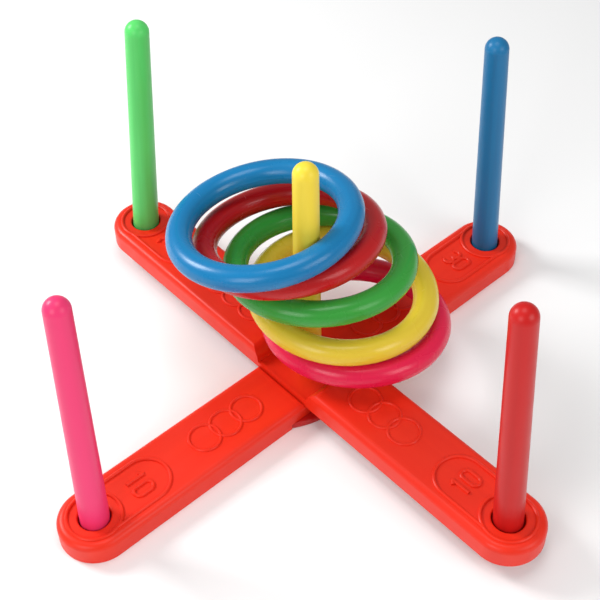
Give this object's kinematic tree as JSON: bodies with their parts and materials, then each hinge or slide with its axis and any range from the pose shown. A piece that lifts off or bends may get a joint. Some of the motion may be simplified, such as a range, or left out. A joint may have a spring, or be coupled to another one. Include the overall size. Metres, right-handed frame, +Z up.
{
  "type": "ring toss set",
  "caption": "Ring toss game: crossed moulded bars on an oval foot, upright tapered pegs in end and centre sockets, and throwing rings stacked on the centre peg.",
  "frame": {"origin": "on the ground under the centre peg, which is the middle of the crossed bars' box", "axes": "+Z up along the centre peg; the lower bar runs along X with the pink peg at -X, and the upper bar runs along Y with the green peg at +Y"},
  "size_m": [0.3946, 0.3946, 0.2042],
  "materials": {
    "bar_red": "bright red-orange satin moulding with raised scores and rings",
    "foot_red": "deeper red moulded foot",
    "peg_green": "slightly translucent satin light green",
    "peg_blue": "slightly translucent satin blue",
    "peg_pink": "slightly translucent satin pink",
    "peg_red": "satin red",
    "peg_yellow": "satin yellow",
    "ring_blue": "glossy blue with soft streaks",
    "ring_red": "glossy deep red",
    "ring_green": "glossy mid green",
    "ring_yellow": "glossy warm yellow",
    "ring_pink": "glossy cerise pink"
  },
  "bodies": {
    "base": {"lower_bar": "bar_red", "centre_foot": "foot_red"},
    "upper": {"upper_bar": "bar_red"},
    "peg_pink": {"peg_pink": "peg_pink"},
    "peg_blue": {"peg_blue": "peg_blue"},
    "peg_red": {"peg_red": "peg_red"},
    "peg_green": {"peg_green": "peg_green"},
    "peg_yellow": {"peg_yellow": "peg_yellow"},
    "ring_pink": {"ring_pink": "ring_pink"},
    "ring_yellow": {"ring_yellow": "ring_yellow"},
    "ring_green": {"ring_green": "ring_green"},
    "ring_red": {"ring_red": "ring_red"},
    "ring_blue": {"ring_blue": "ring_blue"}
  },
  "joints": [
    {"name": "upper_bar_lift", "type": "slide", "parent": "base", "child": "upper", "axis": [0, 0, 1], "range_m": [0, 0.06]},
    {"name": "peg_pink_pull", "type": "slide", "parent": "base", "child": "peg_pink", "axis": [0.0558, 0.0488, 0.9973], "range_m": [0, 0.06]},
    {"name": "peg_blue_pull", "type": "slide", "parent": "base", "child": "peg_blue", "axis": [-0.0384, 0.0279, 0.9989], "range_m": [0, 0.06]},
    {"name": "peg_red_pull", "type": "slide", "parent": "upper", "child": "peg_red", "axis": [-0.0209, 0.061, 0.9979], "range_m": [0, 0.06]},
    {"name": "peg_green_pull", "type": "slide", "parent": "upper", "child": "peg_green", "axis": [0.0209, -0.0819, 0.9964], "range_m": [0, 0.06]},
    {"name": "peg_yellow_pull", "type": "slide", "parent": "upper", "child": "peg_yellow", "axis": [0, 0, 1], "range_m": [0, 0.03]},
    {"name": "ring_pink_lift", "type": "slide", "parent": "upper", "child": "ring_pink", "axis": [0, 0, 1], "range_m": [0, 0.17]},
    {"name": "ring_yellow_lift", "type": "slide", "parent": "ring_pink", "child": "ring_yellow", "axis": [0, 0, 1], "range_m": [0, 0.145]},
    {"name": "ring_green_lift", "type": "slide", "parent": "ring_yellow", "child": "ring_green", "axis": [0, 0, 1], "range_m": [0, 0.13]},
    {"name": "ring_red_lift", "type": "slide", "parent": "ring_green", "child": "ring_red", "axis": [0, 0, 1], "range_m": [0, 0.115]},
    {"name": "ring_blue_lift", "type": "slide", "parent": "ring_red", "child": "ring_blue", "axis": [0, 0, 1], "range_m": [0, 0.095]}
  ]
}
